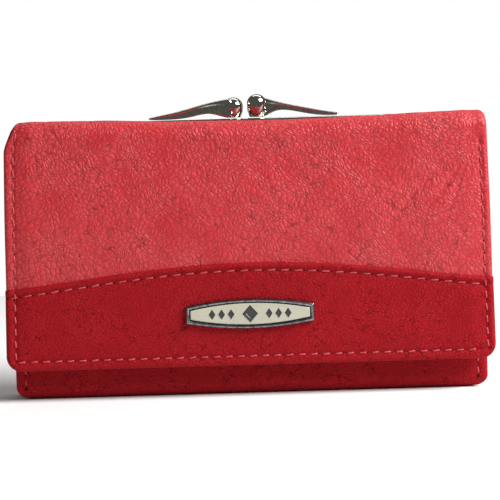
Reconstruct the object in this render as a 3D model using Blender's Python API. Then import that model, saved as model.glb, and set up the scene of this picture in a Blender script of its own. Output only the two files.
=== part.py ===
"""A small leather purse: a flap over card and note pockets, with a kiss-lock coin pouch behind.

It stands on its folded leather base at z = 0, with the flap facing -Y. Sizes are in millimetres and are
scaled to metres as each mesh is made.
"""
import math

import bmesh
import bpy
from mathutils import Vector

MM = 0.001
GAP = 0.3

# Overall sizes
FLAP_WIDTH = 145.0
FOLD_WIDTH = 142.0
BODY_WIDTH = 141.4
FOLD_TOP = 83.0
FLAP_BOTTOM = 9.6
FLAP_CORNER = 4.5
INNER_BOTTOM = 3.0

# Every layer through the middle of the purse, front to back, and its thickness
FRONT_FACE = -17.5
LAYERS = (
    ("plate", 1.4),
    ("band", 0.8),
    ("flap_leather", 1.0),
    ("stiffener", 0.6),
    ("flap_lining", 0.6),
    ("socket", 1.6),
    ("stud", 0.4),
    ("front_leather", 1.0),
    ("stud_washer", 0.4),
    ("pocket_middle", 0.6),
    ("pocket_upper", 0.6),
    ("front_lining", 0.6),
    ("note_space", 4.9),
    ("middle_lining", 0.6),
    ("middle_leather", 1.0),
    ("front_jaw", 3.4),
    ("rear_jaw", 3.4),
)
LAYER = {}
next_front = FRONT_FACE
for layer_name, thickness in LAYERS:
    LAYER[layer_name] = (next_front, next_front + thickness)
    next_front += thickness + GAP

# Top fold: both fold lines lie on the inner face of the outer leather
LEATHER = 1.0
LINING = 0.6
FOLD_LINE_Z = FOLD_TOP - LEATHER
LINING_TOP = FOLD_TOP - 2.3
FRONT_FOLD_Y = LAYER["flap_leather"][1]
REAR_FOLD_Y = LAYER["middle_leather"][0]

# Plate and snap, centred on the flap's lower half
PLATE_Z = 25.0
PLATE_LENGTH = 37.8
PLATE_HEIGHT = 8.9
PLATE_END = 5.2
PLATE_RIM = 1.2
PRONG_X = 14.0

# Card pockets: the height of each one's open edge
POCKET_EDGES = {"front_leather": 44.0, "pocket_middle": 53.0, "pocket_upper": 62.0, "front_lining": 71.0}
POCKET_HALF = 69.0

# Kiss-lock frame: two U-shaped channel jaws on one hinge line
JAW_HALF = 52.0
JAW_TOP = 82.4
RAIL = 3.2
WALL = 0.6
LEG_BOTTOM = 56.0
JAW_CORNER = 4.5
HINGE_Z = 52.0
HINGE_Y = (LAYER["front_jaw"][1] + LAYER["rear_jaw"][0]) / 2
EAR_RADIUS = 3.0
RIVET_RADIUS = 1.0
RIVET_HEAD = 1.9

# Coin pouch: the back leather bulges from the side seams
SEAM_Y = 7.6
BACK_Y = 17.5
WIDEST_Z = 25.0
LOWER_TOP = 47.0
UPPER_BOTTOM = 52.0
GROOVE_Y = 9.3
PANEL_TOP = JAW_TOP - WALL - 0.5
NECK_HALF = 48.6
GROOVE_HALF = 50.9
GROOVE_START = 58.6
PANEL_CORNER = 5.5
CLEAR_HALF = JAW_HALF - RAIL - 0.4

FINISHES = {
    "flap_red": ((0.50, 0.045, 0.055), 0.45, 0.0),
    "band_red": ((0.36, 0.022, 0.032), 0.42, 0.0),
    "body_red": ((0.28, 0.018, 0.028), 0.48, 0.0),
    "lining": ((0.10, 0.012, 0.016), 0.80, 0.0),
    "board": ((0.55, 0.48, 0.38), 0.90, 0.0),
    "nickel": ((0.80, 0.79, 0.76), 0.12, 1.0),
    "gunmetal": ((0.09, 0.10, 0.11), 0.25, 1.0),
    "enamel": ((0.60, 0.58, 0.47), 0.35, 0.0),
}

for leftover in list(bpy.data.objects):
    bpy.data.objects.remove(leftover, do_unlink=True)


# ---------------------------------------------------------------- hinge lines

HINGES = {}


def hinge_line(name, place, parent=None):
    """Add an empty on a joint's axis, which carries the pieces that turn about it."""
    empty = bpy.data.objects.new(name, None)
    bpy.context.collection.objects.link(empty)
    origin = Vector(place)
    if parent:
        empty.parent = HINGES[parent][0]
        empty.location = (origin - HINGES[parent][1]) * MM
    else:
        empty.location = origin * MM
    HINGES[name] = (empty, origin)


hinge_line("rear_fold_line", (0, REAR_FOLD_Y, FOLD_LINE_Z))
hinge_line("front_fold_line", (0, FRONT_FOLD_Y, FOLD_LINE_Z), parent="rear_fold_line")
hinge_line("jaw_hinge_line", (0, HINGE_Y, HINGE_Z))


# ---------------------------------------------------------------- shared shaping tools

def finish(name, bm, look, carrier=None, closed=True):
    """Turn a bmesh in millimetres into a named object with its material, on its hinge line if it moves."""
    origin = HINGES[carrier][1] if carrier else Vector((0, 0, 0))
    bmesh.ops.translate(bm, vec=-origin, verts=bm.verts)
    bmesh.ops.scale(bm, vec=(MM, MM, MM), verts=bm.verts)
    if closed:
        bmesh.ops.recalc_face_normals(bm, faces=bm.faces)
    mesh = bpy.data.meshes.new(name)
    bm.to_mesh(mesh)
    bm.free()
    colour, roughness, metallic = FINISHES[look]
    material = bpy.data.materials.new(name + "_finish")
    material.use_nodes = True
    shader = material.node_tree.nodes["Principled BSDF"]
    shader.inputs["Base Color"].default_value = (*colour, 1.0)
    shader.inputs["Roughness"].default_value = roughness
    shader.inputs["Metallic"].default_value = metallic
    mesh.materials.append(material)
    piece = bpy.data.objects.new(name, mesh)
    bpy.context.collection.objects.link(piece)
    if carrier:
        piece.parent = HINGES[carrier][0]
    return piece


def extruded(outline, axis, span):
    """A closed prism: an outline in the plane across the axis, drawn out from span[0] to span[1]."""
    spots = {
        "X": lambda a, b: (span[0], a, b),
        "Y": lambda a, b: (a, span[0], b),
        "Z": lambda a, b: (a, b, span[0]),
    }
    bm = bmesh.new()
    verts = [bm.verts.new(spots[axis](*point)) for point in outline]
    face = bm.faces.new(verts)
    grown = bmesh.ops.extrude_face_region(bm, geom=[face], use_keep_orig=True)
    moved = [item for item in grown["geom"] if isinstance(item, bmesh.types.BMVert)]
    step = {"X": (1, 0, 0), "Y": (0, 1, 0), "Z": (0, 0, 1)}[axis]
    bmesh.ops.translate(bm, vec=Vector(step) * (span[1] - span[0]), verts=moved)
    return bm


def arc(centre, radius, start, end, steps):
    """Points along an arc, with its angles in degrees."""
    points = []
    for step in range(steps + 1):
        angle = math.radians(start + (end - start) * step / steps)
        points.append((centre[0] + radius * math.cos(angle), centre[1] + radius * math.sin(angle)))
    return points


def disc(centre, radius, steps=24):
    return arc(centre, radius, 0, 360, steps)[:-1]


def rounded(corners, radius, steps=5):
    """A polygon whose corners are rounded: each one is (x, y), or (x, y, its own radius)."""
    outline = []
    for index, corner in enumerate(corners):
        here = Vector(corner[:2])
        before = Vector(corners[index - 1][:2]) - here
        after = Vector(corners[(index + 1) % len(corners)][:2]) - here
        size = corner[2] if len(corner) > 2 else radius
        if size == 0:
            outline.append(tuple(here))
            continue
        half = before.angle(after) / 2
        reach = size / math.tan(half)
        centre = here + (before.normalized() + after.normalized()).normalized() * (size / math.sin(half))
        first = here + before.normalized() * reach - centre
        last = here + after.normalized() * reach - centre
        turn = first.angle_signed(last)
        for step in range(steps + 1):
            angle = -turn * step / steps
            spin = Vector((
                first.x * math.cos(angle) - first.y * math.sin(angle),
                first.x * math.sin(angle) + first.y * math.cos(angle),
            ))
            outline.append(tuple(centre + spin))
    return outline


def mirrored(right_half):
    """Close an outline from its right half, listed from the bottom to the top."""
    return list(right_half) + [(-point[0], *point[1:]) for point in reversed(right_half)]


def subtract(piece, bm):
    """Cut the bmesh's shape out of a piece."""
    combine(piece, bm, "DIFFERENCE")


def combine(piece, bm, operation):
    tool = finish(piece.name + "_tool", bm, "board", carrier=carrier_of(piece))
    tool.hide_render = True
    tool.display_type = "WIRE"
    boolean = piece.modifiers.new("shape", "BOOLEAN")
    boolean.operation = operation
    boolean.solver = "EXACT"
    boolean.object = tool


def carrier_of(piece):
    return piece.parent.name if piece.parent else None


def curved_sheet(name, rows, thickness, look, carrier=None):
    """A sheet through a grid of points, thickened away from the side that its rows face."""
    bm = bmesh.new()
    grid = [[bm.verts.new(point) for point in row] for row in rows]
    for lower, upper in zip(grid, grid[1:]):
        for index in range(len(lower) - 1):
            bm.faces.new((lower[index], lower[index + 1], upper[index + 1], upper[index]))
    piece = finish(name, bm, look, carrier, closed=False)
    piece.data.shade_smooth()
    solid = piece.modifiers.new("thickness", "SOLIDIFY")
    solid.thickness = thickness * MM
    solid.offset = -1
    solid.use_even_offset = True
    return piece


def spread(low, high, count):
    return [low + (high - low) * index / (count - 1) for index in range(count)]


# ---------------------------------------------------------------- the pouch's outer shape

def lower_back(x, z):
    """How far back the outer leather stands below the hinge line: a pillow pinched at its side seams."""
    narrowing = 12.0 * max(0.0, (z - WIDEST_Z) / (LOWER_TOP - WIDEST_Z)) ** 2
    across = 1 - min(1.0, abs(x) / (BODY_WIDTH / 2 - narrowing)) ** 4
    if z < WIDEST_Z:
        height = 1 - 0.14 * ((WIDEST_Z - z) / 19.0) ** 2
    else:
        height = 1 - 0.83 * ((z - WIDEST_Z) / 52.0) ** 2
    return SEAM_Y + (BACK_Y - SEAM_Y) * across * height


def upper_back(x, z):
    """The same leather above the hinge line, drawn in to the rear jaw's groove."""
    across = 1 - min(1.0, abs(x) / CLEAR_HALF) ** 2.5
    rise = min(1.0, max(0.0, (z - 50.0) / 28.2))
    return GROOVE_Y + 6.3 * across * (1 - rise ** 2)


# ---------------------------------------------------------------- body leather and pockets

PILLOW_COLUMNS = spread(-BODY_WIDTH / 2, BODY_WIDTH / 2, 25)


def outer_leather():
    """One piece of leather: the front pocket's face, the base, and the pouch's lower back."""
    front, inner = LAYER["front_leather"]
    bend = 4.0
    rows = []
    for x in PILLOW_COLUMNS:
        heel = lower_back(x, 6.0)
        section = [(front, POCKET_EDGES["front_leather"]), (front, 24.0)]
        section += arc((front + bend, bend), bend, 180, 270, 5)
        section += [(0.0, 0.0)]
        section += arc((heel - 6.0, 6.0), 6.0, 270, 360, 6)
        section += [(lower_back(x, z), z) for z in (12.0, 18.0, 25.0, 32.0, 39.0, 43.0, LOWER_TOP)]
        rows.append([(x, y, z) for y, z in section])
    piece = curved_sheet("outer_leather", rows, inner - front, "body_red")
    stud_hole = extruded(disc((0, PLATE_Z), 1.5), "Y", (front - 1, inner + 1))
    subtract(piece, stud_hole)


def card_pockets():
    for name in ("pocket_middle", "pocket_upper"):
        top = POCKET_EDGES[name]
        outline = rounded(mirrored([(POCKET_HALF, INNER_BOTTOM), (POCKET_HALF, top)]), 2.0)
        finish("card_" + name, extruded(outline, "Y", LAYER[name]), "body_red")
    top = POCKET_EDGES["front_lining"]
    outline = rounded(mirrored([(POCKET_HALF, INNER_BOTTOM), (POCKET_HALF, top)]), 2.0)
    finish("front_wall_lining", extruded(outline, "Y", LAYER["front_lining"]), "lining")


def note_gussets():
    """A folded strip at each side of the note pocket, with its fold pointing in."""
    front, back = LAYER["note_space"]
    middle = (front + back) / 2
    for side, sign in (("left", -1), ("right", 1)):
        outline = [(70.0, front), (66.6, middle), (70.0, back), (69.1, back), (65.5, middle), (69.1, front)]
        outline = [(sign * x, y) for x, y in outline]
        finish("note_gusset_" + side, extruded(outline, "Z", (INNER_BOTTOM, 70.0)), "lining")


def middle_wall():
    top = FOLD_LINE_Z - GAP / 2
    outline = rounded(mirrored([(70.5, INNER_BOTTOM, 2.0), (FOLD_WIDTH / 2, top, 0)]), 0)
    finish("middle_wall", extruded(outline, "Y", LAYER["middle_leather"]), "flap_red")
    outline = rounded(mirrored([(POCKET_HALF, INNER_BOTTOM, 2.0), (POCKET_HALF, LINING_TOP, 0)]), 0)
    finish("middle_wall_lining", extruded(outline, "Y", LAYER["middle_lining"]), "lining")


# ---------------------------------------------------------------- coin pouch

def pouch_front_outline(inset):
    """The pouch's flat front: full width below, then clear of the rivets, then into the jaw's groove."""
    return mirrored([
        (68.0 - inset, INNER_BOTTOM),
        (68.0 - inset, 44.0),
        (56.0 - inset, 47.5),
        (NECK_HALF, 48.5),
        (NECK_HALF, GROOVE_START),
        (GROOVE_HALF, GROOVE_START),
        (GROOVE_HALF, PANEL_TOP - PANEL_CORNER),
        (GROOVE_HALF - PANEL_CORNER, PANEL_TOP),
    ])


def pouch_front():
    groove = LAYER["front_jaw"][0] + WALL
    leather = (groove + GAP, groove + GAP + 0.7)
    finish("pouch_front", extruded(pouch_front_outline(0.0), "Y", leather), "body_red")
    lining = (leather[1] + GAP, leather[1] + GAP + LINING)
    finish("pouch_front_lining", extruded(pouch_front_outline(1.0), "Y", lining), "lining")


def pouch_back_upper():
    """The back leather and its lining above the hinge line: they swing back with the rear jaw."""
    for name, inset, thickness, look in (
        ("pouch_back_upper", 0.0, 0.9, "body_red"),
        ("pouch_lining_upper", 1.2, 0.4, "lining"),
    ):
        rows = []
        for z in (UPPER_BOTTOM, 55.0, 58.2, 59.0, 63.0, 67.0, 71.0, 74.0, 77.0, 79.0, PANEL_TOP):
            half = NECK_HALF if z < GROOVE_START else GROOVE_HALF
            half -= max(0.0, z - PANEL_TOP + PANEL_CORNER)
            bulging = min(CLEAR_HALF - 0.2, half - 0.3)
            columns = [half] + spread(bulging, -bulging, 23) + [-half]
            rows.append([(x, upper_back(x, z) - inset, z) for x in columns])
        curved_sheet(name, rows, thickness, look, carrier="jaw_hinge_line")


def pouch_back_fold():
    """The soft strip of back leather at the hinge line, which folds as the pouch opens."""
    rows = []
    for share in (0.0, 0.5, 1.0):
        z = LOWER_TOP + GAP + (UPPER_BOTTOM - LOWER_TOP - 2 * GAP) * share
        row = []
        for x in spread(-NECK_HALF, NECK_HALF, 21):
            y = lower_back(x, LOWER_TOP) * (1 - share) + upper_back(x, UPPER_BOTTOM) * share
            row.append((x, y, z))
        rows.append(row[::-1])
    curved_sheet("pouch_back_fold", rows, 0.9, "body_red")


def pouch_lining_lower():
    """The lining inside the back leather, never nearer the pouch's front than its own thickness allows."""
    nearest = SEAM_Y - LEATHER - 0.2
    rows = []
    for z in (INNER_BOTTOM, 6.0, 12.0, 18.0, 25.0, 32.0, 39.0, LOWER_TOP - 4.0):
        tuck = max(0.0, 6.0 - z) * 0.9
        rows.append([(x, max(nearest, lower_back(x, max(z, 6.0)) - 1.8 - tuck), z)
                     for x in PILLOW_COLUMNS[-3:1:-1]])
    curved_sheet("pouch_lining_lower", rows, 0.5, "lining")


def pouch_gussets():
    """A narrow folded strip inside each leg of the frame, which fans out as the pouch opens."""
    front = LAYER["front_jaw"][1] - WALL
    for side, sign in (("left", -1), ("right", 1)):
        outline = [(46.0, front), (46.6, front), (46.6, front + 1.6), (46.0, front + 1.6)]
        outline = [(sign * x, y) for x, y in outline]
        finish("pouch_gusset_" + side, extruded(outline, "Z", (54.0, PANEL_TOP - 3.0)), "lining")


# ---------------------------------------------------------------- kiss-lock frame

def jaw(name, ear_x, carrier=None):
    """A channel bent to a U, open inwards to grip the leather, with an ear at the foot of each leg."""
    front, back = LAYER[name]
    depth = back - front
    ease = 0.7
    profile = [
        (0.0, 0.0), (RAIL - ease, 0.0), (RAIL, ease), (RAIL, depth - ease), (RAIL - ease, depth),
        (0.0, depth), (0.0, depth - WALL), (RAIL - WALL, depth - WALL), (RAIL - WALL, WALL), (0.0, WALL),
    ]
    inner_half = JAW_HALF - RAIL
    inner_top = JAW_TOP - RAIL
    corner_x = inner_half - JAW_CORNER
    corner_z = inner_top - JAW_CORNER
    stations = [((-inner_half, LEG_BOTTOM), 180.0)]
    stations += [((-corner_x, corner_z), 180.0 - 15.0 * step) for step in range(7)]
    stations += [((corner_x, corner_z), 90.0 - 15.0 * step) for step in range(7)]
    stations += [((inner_half, LEG_BOTTOM), 0.0)]
    bm = bmesh.new()
    rings = []
    for index, (centre, angle) in enumerate(stations):
        bend = 0.0 if index in (0, len(stations) - 1) else JAW_CORNER
        ring = []
        for out, along in profile:
            reach = bend + out
            x = centre[0] + reach * math.cos(math.radians(angle))
            z = centre[1] + reach * math.sin(math.radians(angle))
            ring.append(bm.verts.new((x, front + along, z)))
        rings.append(ring)
    count = len(profile)
    for first, second in zip(rings, rings[1:]):
        for index in range(count):
            after = (index + 1) % count
            bm.faces.new((first[index], first[after], second[after], second[index]))
    bm.faces.new(rings[0])
    bm.faces.new(rings[-1])
    piece = finish(name, bm, "nickel", carrier)
    for sign in (-1, 1):
        span = sorted((sign * ear_x[0], sign * ear_x[1]))
        combine(piece, extruded(ear_outline(name), "X", span), "UNION")
        hole_span = sorted((sign * (ear_x[0] - 1), sign * (ear_x[1] + 1)))
        subtract(piece, extruded(disc((HINGE_Y, HINGE_Z), RIVET_RADIUS + GAP), "X", hole_span))
    return piece


def ear_outline(name):
    """An ear: a neck down from the leg and a round eye about the rivet."""
    front, back = LAYER[name]
    neck_top = LEG_BOTTOM + 2.0
    if name == "front_jaw":
        eye = arc((HINGE_Y, HINGE_Z), EAR_RADIUS, 160, 455, 16)
        return [(front + 0.1, neck_top), (front + 0.1, HINGE_Z + 1.6)] + eye + [(back - 0.1, neck_top)]
    eye = arc((HINGE_Y, HINGE_Z), EAR_RADIUS, 85, 380, 16)
    return [(front + 0.1, neck_top)] + eye + [(back - 0.1, HINGE_Z + 1.6), (back - 0.1, neck_top)]


# Each arm's outline above its foot: (distance from the middle, height), round from under its ball
FRONT_ARM = (
    (4.0, 0.0), (6.2, 0.0), (7.4, 0.5), (9.4, 1.1), (11.2, 1.4), (13.5, 1.1), (17.0, 0.2), (18.0, 0.0),
    (29.0, 0.0), (29.2, 0.5), (19.1, 2.5), (11.8, 4.5), (6.0, 5.7), (4.0, 5.5),
)
REAR_ARM = (
    (4.6, 0.0), (6.6, 0.0), (8.0, 0.9), (9.8, 1.7), (11.4, 1.9), (14.5, 1.6), (19.5, 0.4), (21.5, 0.0),
    (28.8, 0.0), (29.0, 0.6), (21.7, 1.8), (11.6, 4.1), (6.2, 5.8), (4.6, 5.9),
)


def clasp_arm(name, side, ball_x, ball_top, shape, jaw_name, carrier=None):
    """One arm of the kiss lock: a tapering bar that stands on its jaw's rail, with a domed ball."""
    front, back = LAYER[jaw_name]
    foot = JAW_TOP + GAP
    outline = [(side * x, foot + rise) for x, rise in shape]
    body = extruded(outline, "Y", (front + 0.5, back - 0.5))
    piece = finish(name, body, "nickel", carrier)
    radius = 2.9
    shoulder = ball_top - 2.6
    profile = [(0.0, foot), (radius - 0.5, foot), (radius, foot + 0.6), (radius, shoulder)]
    dome = arc((0.0, shoulder), 1.0, 0, 90, 5)[1:]
    profile += [(x * radius, shoulder + (z - shoulder) * 2.6) for x, z in dome[:-1]]
    profile += [(0.0, ball_top)]
    combine(piece, turned_upright(profile, (ball_x, HINGE_Y)), "UNION")


def turned_upright(profile, centre, steps=24):
    """A turned shape about a vertical line, from a profile of (radius, z) that starts and ends on it."""
    bm = bmesh.new()
    verts = [bm.verts.new((centre[0] + radius, centre[1], z)) for radius, z in profile]
    edges = [bm.edges.new(pair) for pair in zip(verts, verts[1:])]
    bmesh.ops.spin(bm, geom=verts + edges, cent=(*centre, 0.0), axis=(0, 0, 1), angle=math.tau, steps=steps)
    bmesh.ops.remove_doubles(bm, verts=bm.verts, dist=0.001)
    return bm


def hinge_rivets(ear_inner, ear_outer):
    """A headed rivet through the two ears at each side."""
    head = 0.7
    for side, sign in (("left", -1), ("right", 1)):
        inner_face = ear_inner - GAP
        outer_face = ear_outer + GAP
        bm = bmesh.new()
        rings = []
        for x, radius in (
            (inner_face - head, RIVET_HEAD), (inner_face, RIVET_HEAD), (inner_face, RIVET_RADIUS),
            (outer_face, RIVET_RADIUS), (outer_face, RIVET_HEAD), (outer_face + head, RIVET_HEAD),
        ):
            rings.append([bm.verts.new((sign * x, y, z)) for y, z in disc((HINGE_Y, HINGE_Z), radius, 20)])
        for first, second in zip(rings, rings[1:]):
            for index in range(len(first)):
                after = (index + 1) % len(first)
                bm.faces.new((first[index], first[after], second[after], second[index]))
        bm.faces.new(rings[0])
        bm.faces.new(rings[-1])
        finish("hinge_rivet_" + side, bm, "nickel")


# ---------------------------------------------------------------- top fold and flap

def flap_spine():
    """The top of the fold, between its two fold lines, with its lining."""
    span = (FRONT_FOLD_Y + GAP / 2, REAR_FOLD_Y - GAP / 2)
    half = FOLD_WIDTH / 2
    outline = [(-half, span[0]), (half, span[0]), (half, span[1]), (-half, span[1])]
    leather = (FOLD_LINE_Z, FOLD_TOP)
    finish("spine_leather", extruded(outline, "Z", leather), "flap_red", "rear_fold_line")
    inner = (span[0] + 0.4, span[1] - 0.4)
    outline = [(-half + 2, inner[0]), (half - 2, inner[0]), (half - 2, inner[1]), (-half + 2, inner[1])]
    lining = (FOLD_LINE_Z - GAP - LINING, FOLD_LINE_Z - GAP)
    finish("spine_lining", extruded(outline, "Z", lining), "lining", "rear_fold_line")


def flap_outline(inset, top):
    half_bottom = FLAP_WIDTH / 2 - inset
    half_top = FOLD_WIDTH / 2 - inset
    corner = max(1.0, FLAP_CORNER - inset)
    return rounded(mirrored([(half_bottom, FLAP_BOTTOM + inset, corner), (half_top, top, 0)]), 0)


def band_outline():
    """The overlay's outline: the flap's lower edge, with an arched top."""
    side_z = 33.6
    rise = 6.4
    half = FLAP_WIDTH / 2 - 0.45
    arch = [(x, side_z + rise * math.cos(x / half * math.pi / 2) ** 1.2) for x in spread(half, -half, 25)]
    lower_left = rounded([
        (half, side_z, 0), (half, FLAP_BOTTOM, FLAP_CORNER),
        (-half, FLAP_BOTTOM, FLAP_CORNER), (-half, side_z, 0),
    ], 0)
    return lower_left[1:-1] + arch[::-1]


def prong_outline(x, half_x, half_z):
    return [(x - half_x, PLATE_Z - half_z), (x + half_x, PLATE_Z - half_z), (x + half_x, PLATE_Z + half_z),
            (x - half_x, PLATE_Z + half_z)]


def slot(x, y_span):
    """The slot that one of the plate's prongs passes through."""
    return extruded(prong_outline(x, 1.1, 0.6), "Y", (y_span[0] - 1, y_span[1] + 1))


def flap_panels():
    """The flap's sandwich: overlay band, leather, stiffening board and lining."""
    leather = finish(
        "flap_leather", extruded(flap_outline(0.0, FOLD_LINE_Z - GAP / 2), "Y", LAYER["flap_leather"]),
        "flap_red", "front_fold_line")
    band = finish("flap_band", extruded(band_outline(), "Y", LAYER["band"]), "band_red", "front_fold_line")
    board = finish(
        "flap_stiffener", extruded(flap_outline(3.0, 76.0), "Y", LAYER["stiffener"]), "board",
        "front_fold_line")
    lining = finish(
        "flap_lining", extruded(flap_outline(1.2, LINING_TOP), "Y", LAYER["flap_lining"]), "lining",
        "front_fold_line")
    for x in (-PRONG_X, PRONG_X):
        subtract(leather, slot(x, LAYER["flap_leather"]))
        subtract(band, slot(x, LAYER["band"]))
        window = disc((x, PLATE_Z), 3.0)
        subtract(board, extruded(window, "Y", (LAYER["stiffener"][0] - 1, LAYER["stiffener"][1] + 1)))
    window = disc((0, PLATE_Z), 5.4)
    subtract(board, extruded(window, "Y", (LAYER["stiffener"][0] - 1, LAYER["stiffener"][1] + 1)))
    hole = disc((0, PLATE_Z), 1.8)
    subtract(lining, extruded(hole, "Y", (LAYER["flap_lining"][0] - 1, LAYER["flap_lining"][1] + 1)))


def plate_outline(inset):
    """A barrel: long sides bowed between short flat ends."""
    half = PLATE_LENGTH / 2 - inset
    end = PLATE_END / 2 - inset * 0.85
    bow = PLATE_HEIGHT / 2 - inset - end
    upper = [(x, PLATE_Z + end + bow * (1 - (x / half) ** 2)) for x in spread(half, -half, 13)]
    lower = [(x, PLATE_Z - end - bow * (1 - (x / half) ** 2)) for x in spread(-half, half, 13)]
    return upper + lower


def name_plate():
    """The metal plate: a bezel with two prongs, its enamel inlay, and a washer behind each prong."""
    front, back = LAYER["plate"]
    rim = extruded(plate_outline(0.0), "Y", (front, back))
    bezel = finish("plate_bezel", rim, "gunmetal", "front_fold_line")
    recess = 0.9
    subtract(bezel, extruded(plate_outline(PLATE_RIM), "Y", (front - 1, front + recess)))
    for x in (-PRONG_X, PRONG_X):
        prong = extruded(prong_outline(x, 0.8, 0.3), "Y", (back - 0.25, LAYER["stiffener"][1] - 0.1))
        combine(bezel, prong, "UNION")
    inlay = (front + recess - GAP - 0.5, front + recess - GAP)
    finish("plate_inlay", extruded(plate_outline(PLATE_RIM + GAP), "Y", inlay), "enamel", "front_fold_line")
    washer_front = LAYER["stiffener"][0]
    for side, x in (("left", -PRONG_X), ("right", PRONG_X)):
        ring = extruded(disc((x, PLATE_Z), 2.6), "Y", (washer_front, washer_front + 0.4))
        washer = finish("plate_washer_" + side, ring, "nickel", "front_fold_line")
        subtract(washer, slot(x, LAYER["stiffener"]))


# ---------------------------------------------------------------- snap fastener

def headed_pin(name, head, pin, carrier=None):
    """A disc with a pin: each is (radius, y span), and the pin runs into the disc."""
    piece = finish(name, extruded(disc((0, PLATE_Z), head[0]), "Y", head[1]), "nickel", carrier)
    combine(piece, extruded(disc((0, PLATE_Z), pin[0], 16), "Y", pin[1]), "UNION")
    return piece


def snap_fastener():
    """The flap's socket and its cap, and the stud on the front pocket with its washer."""
    socket_front, socket_back = LAYER["socket"]
    socket = finish(
        "snap_socket", extruded(disc((0, PLATE_Z), 5.5), "Y", (socket_front, socket_back)),
        "nickel", "front_fold_line")
    subtract(socket, extruded(disc((0, PLATE_Z), 2.4), "Y", (socket_front - 1, socket_back + 1)))
    board_front = LAYER["stiffener"][0]
    headed_pin("snap_cap", (5.0, (board_front, board_front + 0.4)),
               (1.5, (board_front + 0.2, LAYER["flap_lining"][1])), "front_fold_line")
    stud_front, stud_back = LAYER["stud"]
    post = (1.9, (socket_front + 0.5, stud_front + 0.2))
    stud = headed_pin("snap_stud", (5.0, (stud_front, stud_back)), post)
    rivet = extruded(disc((0, PLATE_Z), 1.2, 16), "Y", (stud_back - 0.2, LAYER["stud_washer"][1]))
    combine(stud, rivet, "UNION")
    disc_washer = extruded(disc((0, PLATE_Z), 4.0), "Y", LAYER["stud_washer"])
    washer = finish("snap_stud_washer", disc_washer, "nickel")
    around = LAYER["stud_washer"]
    subtract(washer, extruded(disc((0, PLATE_Z), 1.5), "Y", (around[0] - 1, around[1] + 1)))


# ---------------------------------------------------------------- the purse, put together

outer_leather()
card_pockets()
note_gussets()
middle_wall()
pouch_front()
pouch_lining_lower()
pouch_back_fold()
pouch_back_upper()
pouch_gussets()

FRONT_EAR = (50.2, 51.0)
REAR_EAR = (51.3, 52.2)
jaw("front_jaw", FRONT_EAR)
jaw("rear_jaw", REAR_EAR, carrier="jaw_hinge_line")
hinge_rivets(FRONT_EAR[0], REAR_EAR[1])
clasp_arm("front_clasp_arm", -1, -3.3, 88.8, FRONT_ARM, "front_jaw")
clasp_arm("rear_clasp_arm", 1, 3.8, 89.6, REAR_ARM, "rear_jaw", carrier="jaw_hinge_line")

flap_spine()
flap_panels()
name_plate()
snap_fastener()
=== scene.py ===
import math

import bmesh
import bpy
import numpy as np
from mathutils import Matrix, Vector, noise


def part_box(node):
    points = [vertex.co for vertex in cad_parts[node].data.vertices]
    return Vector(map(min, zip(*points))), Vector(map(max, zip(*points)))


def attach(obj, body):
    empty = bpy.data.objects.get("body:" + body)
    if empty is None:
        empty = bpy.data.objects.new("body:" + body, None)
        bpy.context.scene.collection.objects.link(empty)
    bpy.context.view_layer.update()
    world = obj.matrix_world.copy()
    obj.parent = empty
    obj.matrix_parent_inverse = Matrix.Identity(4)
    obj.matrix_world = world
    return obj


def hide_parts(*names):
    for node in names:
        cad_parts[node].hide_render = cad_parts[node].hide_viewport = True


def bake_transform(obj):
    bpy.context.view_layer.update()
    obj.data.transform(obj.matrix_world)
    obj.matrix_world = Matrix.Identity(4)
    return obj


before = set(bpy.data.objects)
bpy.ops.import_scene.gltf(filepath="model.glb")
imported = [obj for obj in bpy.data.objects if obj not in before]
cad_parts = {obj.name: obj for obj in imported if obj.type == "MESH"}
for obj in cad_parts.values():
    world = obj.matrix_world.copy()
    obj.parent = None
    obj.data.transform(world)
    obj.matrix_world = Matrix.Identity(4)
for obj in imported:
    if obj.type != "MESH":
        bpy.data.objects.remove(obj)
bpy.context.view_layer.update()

bpy.ops.object.select_all(action="DESELECT")
MM = 0.001


# ---- Body leather ----
# One long panel of hide makes the front, the base and the back. Its side edges are turned and stitched.
# Above the frame's hinge the back is cut narrower, and it is crimped into the frame's rear jaw.


def corners(node):
    """A CAD node's lowest and highest corners, in millimetres."""
    return [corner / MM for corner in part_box(node)]


BODY_LOW, BODY_HIGH = corners("outer_leather")
BACK_TOP = corners("pouch_back_upper")[1].z
BODY_HALF = BODY_HIGH.x
BODY_FRONT_TOP = 44.0
BODY_THICK = 1.0
FRONT_BEND = 4.0
HEEL_BEND = 6.0
JAW_HALF = 48.6
SHOULDER_LOW, SHOULDER_HIGH = 43.5, 49.5
SIDE_SEAM = 3.0
BODY_CORNER = 3.2
EDGE_ROLL = 1.15
STITCH_PITCH = 3.6
HINGE_Z = 52.0
POUCH_FLAT_Y = 7.6
PILLOW_RISE = 9.9
PILLOW_Z = 25.0
# Where the panel's five parts meet, as shares of the way along it: front, toe, base, heel and back
PATH_JOINS = (0.0, 0.27, 0.33, 0.42, 0.49, 1.0)
FRONT_SEED, BACK_SEED = 3.0, 40.0


def smooth(value, low, high):
    """0 below low, 1 above high, and an even S between them."""
    share = np.clip((value - low) / (high - low), 0.0, 1.0)
    return share * share * (3 - 2 * share)


def hump(value, centre, width):
    return np.exp(-((value - centre) / width) ** 2)


def soft_noise(x, y, z, size, depth=2):
    """Smooth, even-tempered bumps about size millimetres across, from -1 to 1."""
    x, y, z = np.broadcast_arrays(x, y, z)
    spots = zip(x.ravel() / size, y.ravel() / size, z.ravel() / size)
    return np.array([noise.fractal(Vector(spot), 1.0, 2.0, depth) for spot in spots]).reshape(x.shape)


def mesh_points(piece):
    points = np.empty(len(piece.data.vertices) * 3)
    piece.data.vertices.foreach_get("co", points)
    return points.reshape(-1, 3)


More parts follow.
